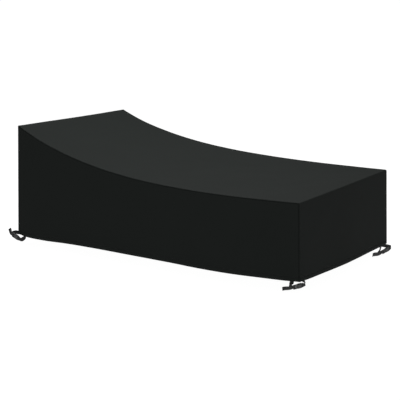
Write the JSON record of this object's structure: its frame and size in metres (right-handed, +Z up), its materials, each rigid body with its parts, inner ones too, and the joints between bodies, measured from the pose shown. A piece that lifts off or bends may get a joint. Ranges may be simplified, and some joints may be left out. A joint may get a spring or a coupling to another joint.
{
  "type": "fitted lounge chair cover",
  "caption": "Fitted outdoor cover for a reclining lounge chair, hollow below, raised at the head end, with webbing straps and side-release buckles at its bottom corners.",
  "frame": {"origin": "middle of the whole object's footprint, level with its lowest strap", "axes": "+Z up, +X from the raised head end to the foot end, +Y to the left of someone lying on the chair"},
  "size_m": [2.1353, 1.2014, 0.7618],
  "materials": {
    "cover_cloth": "matte grey-black coated woven polyester",
    "webbing": "black woven webbing, slight sheen",
    "buckle_plastic": "black moulded plastic, semi-matte"
  },
  "bodies": {
    "root": {"body_strip": "cover_cloth", "side_panel_right": "cover_cloth", "side_panel_left": "cover_cloth", "strap_adjust_foot_right": "webbing", "strap_adjust_foot_left": "webbing", "strap_adjust_head_right": "webbing", "strap_adjust_head_left": "webbing", "strap_fixed_foot_right": "webbing", "strap_fixed_foot_left": "webbing", "strap_fixed_head_right": "webbing", "strap_fixed_head_left": "webbing", "buckle_plug_foot_right": "buckle_plastic", "buckle_plug_foot_left": "buckle_plastic", "buckle_plug_head_right": "buckle_plastic", "buckle_plug_head_left": "buckle_plastic", "buckle_socket_foot_right": "buckle_plastic", "buckle_socket_foot_left": "buckle_plastic", "buckle_socket_head_right": "buckle_plastic", "buckle_socket_head_left": "buckle_plastic"}
  },
  "joints": []
}
